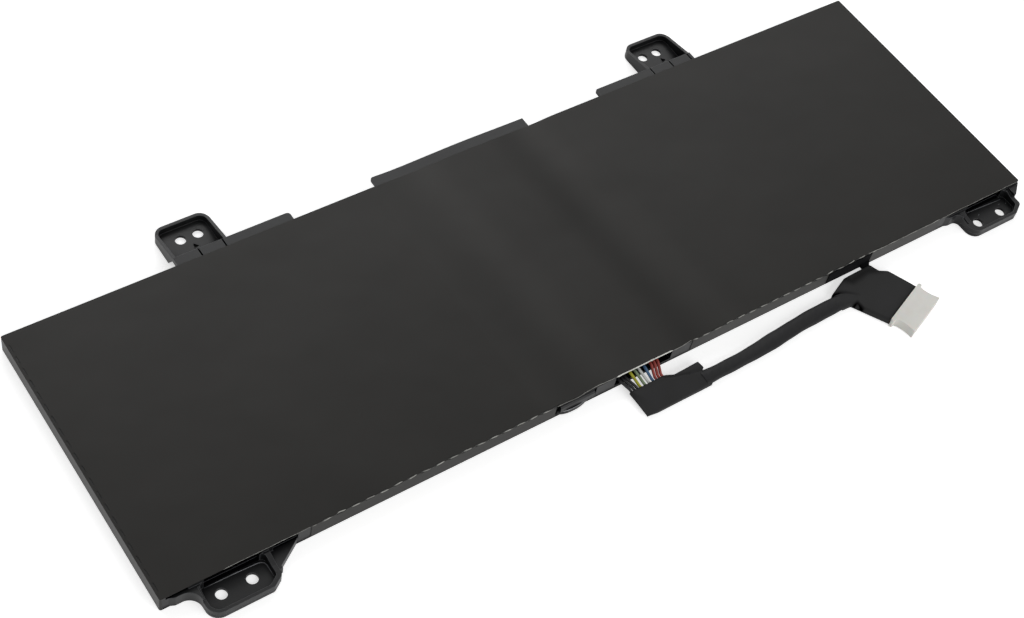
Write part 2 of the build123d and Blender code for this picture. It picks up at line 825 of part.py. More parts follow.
with BuildPart() as resistors:
    with BuildSketch(Plane.XY.offset(board_top)):
        with Locations((board_x + 5.2, board_y + 1.0)):
            with GridLocations(1.8, 1.2, 2, 6):
                Rectangle(1.0, 0.5)
    extrude(amount=0.35)
resistors.part.label = "resistors"
export_step(resistors.part, "parts/resistors.step")

# Foam strip that lies on the tallest components and carries the ridge of the upper film
foam_bottom = board_top + chip_height
foam_top = frame_top - ridge_drop - 0.08
with BuildPart() as board_foam:
    with BuildSketch(Plane.XY.offset(foam_bottom)):
        with Locations((board_x, board_y)):
            Rectangle(foam_width, board_length - 2 * foam_end_gap)
    extrude(amount=foam_top - foam_bottom)
board_foam.part.label = "board_foam"
export_step(board_foam.part, "parts/board_foam.step")


def bend_radii(route):
    """Radii of the arcs at a route's inner points, each as large as its two straight runs allow."""
    runs = [Vector(b) - Vector(a) for a, b in zip(route, route[1:])]
    radii = []
    for before, after in zip(runs, runs[1:]):
        half_turn = math.radians(before.get_angle(after)) / 2
        radii.append(bend_share * min(before.length, after.length) / math.tan(half_turn))
    return radii


# Wires, from their solder joints on the board, through the exit and down into the folded cloth tape.
# Each row: a name, the free space before the wire in the exit and at the tape, its drop below the film.
wires = [
    ("wire_black_1", 0.0, 0.0, black_exit_drop),
    ("wire_black_2", 0.0, 0.0, black_exit_drop),
    ("wire_black_3", 0.0, 0.0, black_exit_drop),
    ("wire_yellow", 0.45, 0.0, exit_drop),
    ("wire_green", 0.45, 0.5, exit_drop),
    ("wire_white", 0.25, 0.35, exit_drop),
    ("wire_blue", 0.75, 0.3, exit_drop),
    ("wire_red_1", 1.05, 0.1, exit_drop),
    ("wire_red_2", 0.1, 0.0, exit_drop),
    ("wire_red_3", 0.1, 0.0, exit_drop),
]
wire_radius = wire_diameter / 2
wire_start_y = board_front + pad_length
wrap_back_y = -half_width - wire_reach
wrap_entry_height = wrap_rise + wrap_thickness - wire_radius - 0.2
solder_height = wire_radius + board_top + 0.02

with BuildPart() as solder_joints:
    with BuildSketch(Plane.XY.offset(board_top)):
        with Locations((board_x, wire_start_y + pad_length / 2)):
            with GridLocations(pad_pitch, 1, len(wires), 1):
                Rectangle(0.8, pad_length)
    extrude(amount=0.8)
solder_joints.part.label = "solder_joints"
export_step(solder_joints.part, "parts/solder_joints.step")

start_x = board_x - (len(wires) - 1) / 2 * pad_pitch
exit_x = first_exit_x
wrap_x = first_wrap_x
for name, exit_space, wrap_space, drop in wires:
    exit_x += exit_space
    wrap_x += wrap_space
    route = [
        (start_x, wire_start_y, solder_height),
        (start_x, wire_start_y - pad_length - 0.3, solder_height),
        (exit_x, -half_width + 1.5, frame_top - drop),
        (exit_x, -half_width, frame_top - drop),
        (wrap_x, wrap_back_y + 0.8, wrap_entry_height),
        (wrap_x, wrap_back_y, wrap_entry_height),
    ]
    with BuildPart() as wire:
        with BuildLine() as wire_path:
            FilletPolyline(*route, radius=bend_radii(route))
        with BuildSketch(Plane(origin=route[0], x_dir=(1, 0, 0), z_dir=(0, -1, 0))):
            RegularPolygon(wire_radius, wire_sides)
        sweep(path=wire_path.wires()[0])
    wire.part.label = name
    export_step(wire.part, f"parts/{name}.step")
    start_x += pad_pitch
    exit_x += wire_diameter + wire_gap
    wrap_x += wire_diameter + wire_gap

# Lead: folded cloth tape at the exit, flattened sleeve along the front edge, and tape behind the plug.
# Places are X and the distance in front of the pack's front edge.
sleeve_places = [
    (14.0, 9.35),
    (25.5, 9.35),
    (37.5, 8.6),
    (49.5, 7.4),
    (60.2, 7.4),
]
exit_wrap_places = [
    (-6.9, wire_reach),
    (-7.0, 11.6),
    (14.0, 11.4),
    (14.0, 7.1),
    (14.6, 6.6),
    (14.3, 4.5),
    (6.4, 4.8),
    (4.1, wire_reach),
]
plug_across = Vector(math.cos(math.radians(plug_angle)), math.sin(math.radians(plug_angle)), 0)
plug_origin = Vector(plug_x, -half_width - plug_reach, 0)
plug_wrap_half = 7.6
plug_right = plug_origin + plug_across * plug_wrap_half
plug_left = plug_origin - plug_across * plug_wrap_half
plug_wrap_places = [
    (60.2, 5.5),
    (60.0, 4.5),
    (66.8, 1.65),
    (tape_tail_x0, 1.55),
    (76.0, 1.5),
    (tape_x1, 4.1),
    (79.3, 5.6),
    (plug_right.X, -half_width - plug_right.Y),
    (plug_left.X, -half_width - plug_left.Y),
    (63.0, 9.4),
    (60.2, 9.3),
]


def in_front(places):
    """Points in the pack's frame, from places given as X and the distance in front of the front edge."""
    return [(x, -half_width - distance) for x, distance in places]


def folded_tape(places, name):
    """Folded cloth tape, a flat pad with softened upper edges, from the places round its outline."""
    with BuildPart() as pad:
        with BuildSketch(Plane.XY.offset(wrap_rise)):
            with BuildLine():
                Polyline(*in_front(places), close=True)
            make_face()
        extrude(amount=wrap_thickness)
        chamfer(pad.faces().sort_by(Axis.Z)[-1].edges(), wrap_edge)
    pad.part.label = name
    export_step(pad.part, f"parts/{name}.step")


folded_tape(exit_wrap_places, "exit_wrap")
folded_tape(plug_wrap_places, "plug_wrap")

sleeve_centre_height = wrap_rise + sleeve_height / 2
sleeve_route = [(x, y, sleeve_centre_height) for x, y in in_front(sleeve_places)]

with BuildPart() as harness_sleeve:
    with BuildLine() as sleeve_path:
        FilletPolyline(*sleeve_route, radius=bend_radii(sleeve_route))
    with BuildSketch(Plane(origin=sleeve_route[0], x_dir=(0, 1, 0), z_dir=(1, 0, 0))):
        SlotOverall(sleeve_width, sleeve_height)
    sweep(path=sleeve_path.wires()[0])
harness_sleeve.part.label = "harness_sleeve"
export_step(harness_sleeve.part, "parts/harness_sleeve.step")

# Black tape on the front wall, whose end folds out to hold the plug wrap
tail_bottom = wrap_rise + 0.4
tail_end = in_front([(76.0, 1.5), (tape_tail_x0, 1.55)])
with BuildPart() as retaining_tape:
    with BuildSketch(Plane.XY.offset(skirt_rise)):
        with Locations(((tape_x0 + tape_x1) / 2, -half_width - tape_thickness / 2)):
            Rectangle(tape_x1 - tape_x0, tape_thickness)
    extrude(amount=pack_thickness - 2 * skirt_rise)
    with BuildSketch(Plane.XY.offset(tail_bottom)):
        with BuildLine():
            Polyline(
                (tape_tail_x0, -half_width - tape_thickness),
                (tape_x1, -half_width - tape_thickness),
                *tail_end,
                close=True,
            )
        make_face()
    extrude(amount=wrap_thickness / 2)
retaining_tape.part.label = "retaining_tape"
export_step(retaining_tape.part, "parts/retaining_tape.step")

# Plug housing, drawn in its own plane: X across the row of contacts and Y out of the plug's face
plug_plane = Plane(
    origin=plug_origin + Vector(0, 0, wrap_rise),
    x_dir=plug_across,
    z_dir=(0, 0, 1),
)
body_start = -plug_flange_depth
body_end = -plug_depth
front_half = plug_front_width / 2
waist_half = plug_waist_width / 2
contact_row = [(index - (contact_count - 1) / 2) * contact_pitch for index in range(contact_count)]
socket_centre = plug_height * 0.5

with BuildPart() as connector_housing:
    with BuildSketch(plug_plane):
        with BuildLine():
            Polyline(
                (-front_half + 0.3, body_start),
                (front_half - 0.3, body_start),
                (waist_half, body_start - 1.0),
            )
            ThreePointArc(
                (waist_half, body_start - 1.0),
                (waist_half + 0.1, (body_start + body_end) / 2 - 0.8),
                (front_half, body_end + 0.3),
            )
            Polyline(
                (front_half, body_end + 0.3),
                (front_half, body_end),
                (-front_half, body_end),
                (-front_half, body_end + 0.3),
            )
            ThreePointArc(
                (-front_half, body_end + 0.3),
                (-waist_half - 0.1, (body_start + body_end) / 2 - 0.8),
                (-waist_half, body_start - 1.0),
            )
            Line((-waist_half, body_start - 1.0), (-front_half + 0.3, body_start))
        make_face()
    extrude(amount=plug_height)
    with BuildSketch(plug_plane) as flange_plan:
        with Locations((0, -plug_flange_depth / 2)):
            Rectangle(plug_flange_width, plug_flange_depth)
        fillet(flange_plan.vertices(), 0.45)
    extrude(amount=plug_height)
    with BuildSketch(plug_plane.offset(socket_centre - socket_height / 2)):
        for x in contact_row:
            with Locations((x, body_end + contact_length / 2)):
                Rectangle(socket_width, contact_length)
    extrude(amount=socket_height, mode=Mode.SUBTRACT)
connector_housing.part.label = "connector_housing"
export_step(connector_housing.part, "parts/connector_housing.step")

# Contacts, one blade in each socket, standing on its floor
with BuildPart() as connector_contacts:
    with BuildSketch(plug_plane.offset(socket_centre - socket_height / 2)):
        for x in contact_row:
            with Locations((x, body_end + 0.4 + (contact_length - 0.4) / 2)):
                Rectangle(contact_width, contact_length - 0.4)
    extrude(amount=socket_height - 0.3)
connector_contacts.part.label = "connector_contacts"
export_step(connector_contacts.part, "parts/connector_contacts.step")
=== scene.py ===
import bpy
import bmesh
import math
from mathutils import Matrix, Quaternion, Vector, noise


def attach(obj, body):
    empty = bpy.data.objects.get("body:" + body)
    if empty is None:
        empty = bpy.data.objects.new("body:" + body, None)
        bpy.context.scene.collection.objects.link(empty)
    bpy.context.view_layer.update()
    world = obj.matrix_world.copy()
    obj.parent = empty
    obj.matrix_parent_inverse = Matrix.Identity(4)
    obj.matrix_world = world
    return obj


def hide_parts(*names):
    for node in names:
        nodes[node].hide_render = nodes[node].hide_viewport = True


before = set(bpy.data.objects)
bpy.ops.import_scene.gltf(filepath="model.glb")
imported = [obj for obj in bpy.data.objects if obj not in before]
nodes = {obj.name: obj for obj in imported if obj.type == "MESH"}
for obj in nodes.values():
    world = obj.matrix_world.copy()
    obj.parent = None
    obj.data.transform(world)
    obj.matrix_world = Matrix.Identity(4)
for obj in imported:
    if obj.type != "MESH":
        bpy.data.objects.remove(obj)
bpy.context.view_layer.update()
mm = 0.001

# Camera at the photograph's place: above the front left corner, looking down along the pack, and rolled
# to the left, so that the pack runs from the lower left of the picture to its upper right.
camera_place = Vector((-219.17, -209.08, 361.60)) * mm
camera_target = Vector((-17.75, -7.75, 0.3)) * mm
camera_roll = math.radians(13.765)
camera_data = bpy.data.cameras.new("studio_camera")
camera_data.lens = 63.68
camera_data.sensor_width = 36.0
camera_data.clip_start = 0.01
camera = bpy.data.objects.new("studio_camera", camera_data)
bpy.context.scene.collection.objects.link(camera)
looking = (camera_target - camera_place).to_track_quat("-Z", "Y")
camera.rotation_mode = "QUATERNION"
camera.rotation_quaternion = looking @ Quaternion((0, 0, 1), camera_roll)
camera.location = camera_place
bpy.context.scene.camera = camera
bpy.context.scene.view_settings.view_transform = "Standard"

# Frame: the moulding that holds the cells and the circuit board, with four screw ears, three lips and the
# clip bar. It is black PC-ABS, injection moulded in one piece with a finely spark-eroded face, so it is
# satin, and its edges are slightly rounded and catch the light. Painted shade darkens its pockets and
# recesses, and a painted highlight lightens its edges.


def linear(hex_colour):
    """Linear colour of an sRGB hex value."""
    channels = [int(hex_colour[i:i + 2], 16) / 255 for i in (1, 3, 5)]
    return [c / 12.92 if c <= 0.04045 else ((c + 0.055) / 1.055) ** 2.4 for c in channels] + [1.0]


def add_node(material, kind, settings=None, **links):
    """Adds a shader node with its settings, and links each named input to a socket or sets its value."""
    node = material.node_tree.nodes.new(kind)
    for name, value in (settings or {}).items():
        setattr(node, name, value)
    for name, value in links.items():
        socket = node.inputs[int(name[1:])] if name[1:].isdigit() else node.inputs[name.replace("_", " ")]
        if isinstance(value, bpy.types.NodeSocket):
            material.node_tree.links.new(value, socket)
        else:
            socket.default_value = value
    return node


def mottled(name, colour, second_colour, patch, grain, relief, roughness, **settings):
    """Material whose colour drifts between two sRGB hex values in soft patches, with a fine surface grain.

    The sizes of the patches and of the grain, and the relief of the grain, are in metres.
    """
    material = bpy.data.materials.new(name)
    material.use_nodes = True
    shader = material.node_tree.nodes["Principled BSDF"]
    shader.inputs["Roughness"].default_value = roughness
    for key, value in settings.items():
        shader.inputs[key.replace("_", " ")].default_value = value
    place = add_node(material, "ShaderNodeTexCoord").outputs["Object"]
    patches = add_node(
        material, "ShaderNodeTexNoise", Vector=place, Scale=1 / patch, Detail=3.0, Roughness=0.5
    )
    drift = add_node(
        material, "ShaderNodeMapRange", Value=patches.outputs["Fac"], From_Min=0.35, From_Max=0.65
    )
    blend = add_node(
        material,
        "ShaderNodeMix",
        {"data_type": "RGBA"},
        _0=drift.outputs["Result"],
        _6=linear(colour),
        _7=linear(second_colour),
    )
    material.node_tree.links.new(blend.outputs[2], shader.inputs["Base Color"])
    grains = add_node(
        material, "ShaderNodeTexNoise", Vector=place, Scale=1 / grain, Detail=4.0, Roughness=0.6
    )
    bump = add_node(
        material, "ShaderNodeBump", Height=grains.outputs["Fac"], Strength=1.0, Distance=relief
    )
    material.node_tree.links.new(bump.outputs["Normal"], shader.inputs["Normal"])
    return material


def part_of(material, kind):
    """First node of a kind in a material."""
    return next(node for node in material.node_tree.nodes if node.bl_idname == kind)


def lay_under_grain(material, relief):
    """Feeds the normal of a coarser relief, such as a weave or a rounded edge, into the fine grain."""
    grain_bump = part_of(material, "ShaderNodeBump")
    material.node_tree.links.new(relief.outputs["Normal"], grain_bump.inputs["Normal"])


def dress(piece, material):
    """Gives a piece one material in every slot."""
    piece.data.materials.clear()
    piece.data.materials.append(material)


def joined_copy(node_name, piece_name):
    """New piece with a CAD node's shape: its loose triangles are joined and its flat faces made whole."""
    piece = bpy.data.objects.new(piece_name, nodes[node_name].data.copy())
    piece.data.name = piece_name
    bpy.context.scene.collection.objects.link(piece)
    bpy.ops.object.select_all(action="DESELECT")
    piece.select_set(True)
    bpy.context.view_layer.objects.active = piece
    bpy.ops.mesh.customdata_custom_splitnormals_clear()
    bpy.ops.object.mode_set(mode="EDIT")
    bpy.ops.mesh.select_all(action="SELECT")
    bpy.ops.mesh.remove_doubles(threshold=0.002 * mm)
    bpy.ops.mesh.dissolve_limited(angle_limit=math.radians(0.6))
    bpy.ops.object.mode_set(mode="OBJECT")
    return piece


def apply_modifier(piece, kind, **settings):
    """Adds a modifier with its settings to the active piece and applies it."""
    modifier = piece.modifiers.new(kind.lower(), kind)
    for name, value in settings.items():
        setattr(modifier, name, value)
    bpy.ops.object.modifier_apply(modifier=modifier.name)


frame_edge_round = 0.22 * mm
moulded_plastic = mottled(
    "moulded_pc_abs_satin",
    "#141415",
    "#191a1b",
    patch=9 * mm,
    grain=0.18 * mm,
    relief=0.006 * mm,
    roughness=0.4,
    IOR=1.52,
    Specular_IOR_Level=0.25,
)
edge_glint = add_node(moulded_plastic, "ShaderNodeBevel", {"samples": 6}, Radius=frame_edge_round)
lay_under_grain(moulded_plastic, edge_glint)

# Painted shade: deep pockets are drawn darker and less glossy, and so is all that lies within the front
# wall's thickness, from just behind its face to its back, where the recesses lie.
pocket_depth = 4 * mm
pocket_shade = add_node(moulded_plastic, "ShaderNodeAmbientOcclusion", {"samples": 8}, Distance=pocket_depth)
open_face = add_node(
    moulded_plastic,
    "ShaderNodeMapRange",
    Value=pocket_shade.outputs["AO"],
    From_Min=0.25,
    From_Max=0.75,
    To_Min=0.25,
)
recess_start = (-39.84 * mm, -39.68 * mm)
recess_end = (-38.2 * mm, -37.9 * mm)
depth_in_wall = add_node(
    moulded_plastic,
    "ShaderNodeSeparateXYZ",
    Vector=add_node(moulded_plastic, "ShaderNodeTexCoord").outputs["Object"],
).outputs["Y"]
behind_face = add_node(
    moulded_plastic,
    "ShaderNodeMapRange",
    Value=depth_in_wall,
    From_Min=recess_start[0],
    From_Max=recess_start[1],
    To_Min=1.0,
    To_Max=0.0,
)
past_wall = add_node(
    moulded_plastic,
    "ShaderNodeMapRange",
    Value=depth_in_wall,
    From_Min=recess_end[0],
    From_Max=recess_end[1],
)
outside_recess_shade = add_node(
    moulded_plastic,
    "ShaderNodeMath",
    {"operation": "MAXIMUM"},
    _0=behind_face.outputs["Result"],
    _1=past_wall.outputs["Result"],
)
unshaded_share = add_node(
    moulded_plastic,
    "ShaderNodeMath",
    {"operation": "MULTIPLY"},
    _0=open_face.outputs["Result"],
    _1=outside_recess_shade.outputs[0],
)
# Painted shade: the frame's colour goes near black in its pockets and recesses.
painted_shade_colour = add_node(
    moulded_plastic,
    "ShaderNodeMix",
    {"data_type": "RGBA"},
    _0=unshaded_share.outputs[0],
    _6=linear("#050506"),
    _7=part_of(moulded_plastic, "ShaderNodeMix").outputs[2],
)
painted_shade_gloss = add_node(moulded_plastic, "ShaderNodeMapRange", Value=unshaded_share.outputs[0], To_Max=0.24)

# Painted highlight: the rounded edges are drawn pale, where the rounding turns a face's normal.
edge_turn = add_node(
    moulded_plastic,
    "ShaderNodeVectorMath",
    {"operation": "DOT_PRODUCT"},
    _0=edge_glint.outputs["Normal"],
    _1=add_node(moulded_plastic, "ShaderNodeNewGeometry").outputs["Normal"],
)
painted_edge_highlight = add_node(
    moulded_plastic,
    "ShaderNodeMapRange",
    Value=edge_turn.outputs["Value"],
    From_Min=0.99,
    From_Max=0.85,
    To_Max=0.55,
)
edge_highlight_colour = add_node(
    moulded_plastic,
    "ShaderNodeMix",
    {"data_type": "RGBA"},
    _0=painted_edge_highlight.outputs["Result"],
    _6=painted_shade_colour.outputs[2],
    _7=linear("#6c6d70"),
)
frame_shader = part_of(moulded_plastic, "ShaderNodeBsdfPrincipled")
moulded_plastic.node_tree.links.new(edge_highlight_colour.outputs[2], frame_shader.inputs["Base Color"])
moulded_plastic.node_tree.links.new(painted_shade_gloss.outputs["Result"], frame_shader.inputs["Specular IOR Level"])
dress(nodes["frame"], moulded_plastic)

# Ribs on the floors of the front ears: low rounded beads where the floor meets the recess in the wall, and
# three pips beside the screw holes, left by the mould's ejector pins. They are drawn much paler than the
# moulding, as painted highlights.


def join_rings(mesh, rings):
    """Side faces between neighbouring rings of vertices, a row for each gap, and a flat cap at each end."""
    sides = len(rings[0])
    rows = []
    for before, after in zip(rings, rings[1:]):
        row = []
        for i in range(sides):
            j = (i + 1) % sides
            row.append(mesh.faces.new((before[i], after[i], after[j], before[j])))
        rows.append(row)
    mesh.faces.new(rings[0])
    mesh.faces.new(list(reversed(rings[-1])))
    return rows


def finished_tube(name, mesh):
    """New piece from the mesh of a closed tube: its faces point outwards, and its sides are smooth."""
    bmesh.ops.recalc_face_normals(mesh, faces=mesh.faces)
    data = bpy.data.meshes.new(name)
    mesh.to_mesh(data)
    mesh.free()
    for polygon in data.polygons:
        polygon.use_smooth = len(polygon.vertices) == 4
    piece = bpy.data.objects.new(name, data)
    bpy.context.scene.collection.objects.link(piece)
    return piece


def squared(value, power):
    """Sine or cosine raised to a power, with its sign kept: a power below 1 squares a round section."""
    return math.copysign(abs(value) ** power, value)


def bead(name, centres, radii, sides=8, tall=1.0, squareness=1.0):
    """Rounded bead through a row of points, closed at both ends, with a radius at each point.

    It is round unless its height is more than its depth, or its section is squared by a power below 1.
    """
    mesh = bmesh.new()
    rings = []
    for index, (centre, radius) in enumerate(zip(centres, radii)):
        along = (centres[min(index + 1, len(centres) - 1)] - centres[max(index - 1, 0)]).normalized()
        across = Vector((0, 0, 1)).cross(along).normalized()
        upward = along.cross(across)
        ring = []
        for side in range(sides):
            angle = 2 * math.pi * side / sides
            sidewise = squared(math.cos(angle), squareness)
            height = squared(math.sin(angle), squareness) * tall
            ring.append(mesh.verts.new(centre + (across * sidewise + upward * height) * radius))
        rings.append(ring)
    join_rings(mesh, rings)
    piece = finished_tube(name, mesh)
    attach(piece, "root")
    return piece


rib_radius = 0.13
tray_floor_height = 0.83
rib_end_radii = (0.4, 0.8)
rib_places = {
    "rib_left_ear": [
        (-122.8, -40.1),
        (-119.0, -40.15),
        (-115.0, -40.2),
        (-109.6, -40.4),
        (-108.7, -40.6),
        (-108.1, -41.1),
        (-107.9, -41.8),
        (-107.9, -43.4),
        (-107.95, -45.2),
    ],
    "rib_right_ear": [(114.6, -40.0), (117.0, -40.1), (121.0, -40.35), (125.0, -40.6), (127.2, -40.8)],
    "pip_right_ear_1": [(125.3, -41.9), (125.45, -41.9), (125.7, -41.9), (125.85, -41.9)],
    "pip_right_ear_2": [(127.4, -42.6), (127.5, -42.6), (127.7, -42.6), (127.8, -42.6)],
    "pip_right_ear_3": [(117.1, -42.1), (117.25, -42.1), (117.5, -42.1), (117.65, -42.1)],
}
# Painted highlight: the ribs and pips are a pale grey copy of the moulding.
rib_painted_highlight = mottled(
    "moulded_pc_abs_bead_painted_highlight",
    "#4c4d50",
    "#66676b",
    patch=2.5 * mm,
    grain=0.18 * mm,
    relief=0.004 * mm,
    roughness=0.35,
    IOR=1.52,
)
for name, places in rib_places.items():
    centres = [Vector((x, y, tray_floor_height)) * mm for x, y in places]
    radii = [rib_radius * mm] * len(centres)
    for near, share in enumerate(rib_end_radii):
        radii[near] *= share
        radii[-1 - near] *= share
    rib = bead(name, centres, radii)
    dress(rib, rib_painted_highlight)

# Clip bar: a bowed strip of the same moulding low on the front wall, whose two ends run into the wall.
# It is drawn nearly black as painted shade, and a pale bead along its upper front edge is a painted
# highlight.
bow_places = [
    (-26.3, -39.45),
    (-25.6, -39.75),
    (-24.8, -40.1),
    (-23.8, -40.36),
    (-22.6, -40.46),
    (-21.0, -40.45),
    (-19.7, -40.3),
    (-18.5, -40.0),
    (-17.4, -39.6),
    (-16.6, -39.4),
]
bow_height = 1.1
bow_half_depth = 0.5
bow_tall = 1.56
rim_forward = 0.41
rim_rise = 0.68
rim_end_shares = (0.4, 0.9, 1, 1, 1, 0.9, 0.4)
bow = bead(
    "clip_bow",
    [Vector((x, y, bow_height)) * mm for x, y in bow_places],
    [bow_half_depth * mm] * len(bow_places),
    sides=20,
    tall=bow_tall,
    squareness=0.55,
)
# Painted shade: the bar is a darker copy of the moulding.
bar_painted_shade = mottled(
    "moulded_pc_abs_painted_shade",
    "#0b0b0c",
    "#101011",
    patch=3 * mm,
    grain=0.18 * mm,
    relief=0.003 * mm,
    roughness=0.35,
    IOR=1.52,
    Specular_IOR_Level=0.16,
)
dress(bow, bar_painted_shade)
rim_places = [(x, y - rim_forward, bow_height + rim_rise) for x, y in bow_places[1:-2]]
rim_radii = [rib_radius * mm * share for share in rim_end_shares]
rim = bead("clip_bow_rim", [Vector(place) * mm for place in rim_places], rim_radii)
# Painted highlight: the rim bead is a pale grey copy of the moulding.
rim_painted_highlight = mottled(
    "moulded_pc_abs_rim_painted_highlight",
    "#6d6e71",
    "#85868a",
    patch=2.5 * mm,
    grain=0.18 * mm,
    relief=0.003 * mm,
    roughness=0.3,
    IOR=1.52,
)
dress(rim, rim_painted_highlight)

# Cells: two lithium polymer pouches, with their side seams folded up, on thin sheets of milky adhesive.
# The pouch is aluminium foil laminated in nylon, deep drawn, so it is dull silver with a faint cast.
pouch_foil = mottled(
    "laminated_pouch_foil",
    "#a9abad",
    "#9da0a3",
    patch=22 * mm,
    grain=1.4 * mm,
    relief=0.03 * mm,
    roughness=0.34,
    Metallic=0.85,
)
adhesive = mottled(
    "acrylic_adhesive_sheet",
    "#d9d6cc",
    "#cfcbc0",
    patch=12 * mm,
    grain=0.6 * mm,
    relief=0.02 * mm,
    roughness=0.6,
    IOR=1.47,
)
for side in ("left", "right"):
    dress(nodes[f"cell_{side}"], pouch_foil)
    dress(nodes[f"cell_tape_{side}"], adhesive)

# Tabs, links and weld plates: strips of nickel-plated steel, cut, laid over each other and spot welded.
# The rolled strip keeps fine lines along its length, and its plating is a warm pale grey.
nickel = mottled(
    "nickel_plated_strip",
    "#b9b4aa",
    "#aca79e",
    patch=5 * mm,
    grain=0.25 * mm,
    relief=0.004 * mm,
    roughness=0.3,
    Metallic=1.0,
)
line_stretch = (0.06, 1.0, 1.0)
rolling_lines = add_node(
    nickel,
    "ShaderNodeMapping",
    Vector=add_node(nickel, "ShaderNodeTexCoord").outputs["Object"],
    Scale=line_stretch,
)
for texture in [node for node in nickel.node_tree.nodes if node.bl_idname == "ShaderNodeTexNoise"]:
    nickel.node_tree.links.new(rolling_lines.outputs["Vector"], texture.inputs["Vector"])
for name in nodes:
    if name.startswith(("positive_tab", "negative_tab", "link_", "weld_plates")):
        dress(nodes[name], nickel)

# Tab tapes: amber polyimide film over the cells' terraces, thin and glossy, with small blisters under it.
amber_tape = mottled(
    "polyimide_tape",
    "#9a5a12",
    "#8a4c0d",
    patch=8 * mm,
    grain=1.1 * mm,
    relief=0.02 * mm,
    roughness=0.22,
    IOR=1.7,
)
for side in ("left", "right"):
    dress(nodes[f"tab_tape_{side}"], amber_tape)

# Circuit board and its insulating sheet: glass epoxy under green solder mask, with the copper tracks just
# showing as slightly lighter lines. The sheet is die cut from milky polycarbonate and lies under the board.
solder_mask = mottled(
    "green_solder_mask",
    "#0e3a22",
    "#125030",
    patch=3 * mm,
    grain=0.5 * mm,
    relief=0.01 * mm,
    roughness=0.3,
    IOR=1.55,
)
track_pitch = 1.2 * mm
tracks = add_node(
    solder_mask,
    "ShaderNodeTexBrick",
    {"offset": 0.35, "squash": 1.0},
    Vector=add_node(solder_mask, "ShaderNodeTexCoord").outputs["Object"],
    Scale=1 / track_pitch,
    Mortar_Size=0.12,
    Color1=linear("#0e3a22"),
    Color2=linear("#114428"),
    Mortar=linear("#1a6038"),
)
solder_mask.node_tree.links.new(tracks.outputs["Color"], part_of(solder_mask, "ShaderNodeMix").inputs[7])
dress(nodes["circuit_board"], solder_mask)
insulating_sheet = mottled(
    "polycarbonate_sheet",
    "#dedfdc",
    "#d2d4d2",
    patch=15 * mm,
    grain=0.9 * mm,
    relief=0.01 * mm,
    roughness=0.35,
    IOR=1.58,
)
dress(nodes["board_insulator"], insulating_sheet)

# Components: the gauge and protector chips, the two power transistors, the fuse and the small passive parts.
# Chips are moulded in dull black epoxy, as are the thermistor and the sense resistor here. The fuse has a
# glazed white body, the capacitors are of fired brown ceramic, and the resistors are overglazed in black.
chip_epoxy = mottled(
    "moulded_chip_epoxy",
    "#1c1c1e",
    "#242427",
    patch=2 * mm,
    grain=0.09 * mm,
    relief=0.008 * mm,
    roughness=0.5,
    IOR=1.55,
)
for name in (
    "gauge_chip",
    "protector_chip",
    "charge_mosfet",
    "discharge_mosfet",
    "sense_resistor",
    "thermistor",
):
    dress(nodes[name], chip_epoxy)
white_ceramic = mottled(
    "glazed_white_ceramic",
    "#d8d6d0",
    "#c9c7c1",
    patch=1.5 * mm,
    grain=0.1 * mm,
    relief=0.004 * mm,
    roughness=0.3,
    IOR=1.6,
)
dress(nodes["fuse"], white_ceramic)
capacitor_ceramic = mottled(
    "fired_capacitor_ceramic",
    "#9b7a55",
    "#86683f",
    patch=0.9 * mm,
    grain=0.08 * mm,
    relief=0.003 * mm,
    roughness=0.42,
    IOR=1.6,
)
dress(nodes["capacitors"], capacitor_ceramic)
resistor_glaze = mottled(
    "resistor_overglaze",
    "#17181b",
    "#202227",
    patch=0.7 * mm,
    grain=0.06 * mm,
    relief=0.002 * mm,
    roughness=0.28,
    IOR=1.5,
)
dress(nodes["resistors"], resistor_glaze)

# Foam strip on the components: closed-cell polyurethane, die cut, so cells about 0.3 mm wide stand open in
# its dull grey face. It carries the ridge of the upper film.
foam = mottled(
    "die_cut_foam",
    "#4b4c4e",
    "#3d3e40",
    patch=1.2 * mm,
    grain=0.3 * mm,
    relief=0.12 * mm,
    roughness=0.95,
    IOR=1.4,
)
dress(nodes["board_foam"], foam)

# Solder joints: tin alloy wetted round the stripped wire ends, bright and slightly rippled.
solder = mottled(
    "bright_solder",
    "#c3c5c7",
    "#b2b5b8",
    patch=0.8 * mm,
    grain=0.3 * mm,
    relief=0.02 * mm,
    roughness=0.2,
    Metallic=1.0,
)
dress(nodes["solder_joints"], solder)

# Wires: ten strands of stranded copper in soft PVC, from the solder joints through the exit into the cloth
# tape. The extruded insulation is slightly glossy, in the usual colours for cells, sense lines and data.
wire_colours = {
    "wire_black": ("#19191b", "#222225"),
    "wire_yellow": ("#a3a02c", "#b6b43c"),
    "wire_green": ("#728266", "#859679"),
    "wire_white": ("#c9cbc8", "#d8d9d6"),
    "wire_blue": ("#3c5878", "#4a6a8c"),
    "wire_red": ("#8c3a34", "#a04a42"),
}
for group, (colour, second_colour) in wire_colours.items():
    insulation = mottled(
        f"pvc_insulation_{group.removeprefix('wire_')}",
        colour,
        second_colour,
        patch=1.6 * mm,
        grain=0.2 * mm,
        relief=0.004 * mm,
        roughness=0.42,
        IOR=1.53,
        Specular_IOR_Level=0.3,
    )
    for name in [n for n in nodes if n.startswith(group)]:
        strand = joined_copy(name, f"strand_{name.removeprefix('wire_')}")
        bpy.ops.object.shade_smooth_by_angle(angle=math.radians(70))
        dress(strand, insulation)
        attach(strand, "root")
        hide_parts(name)

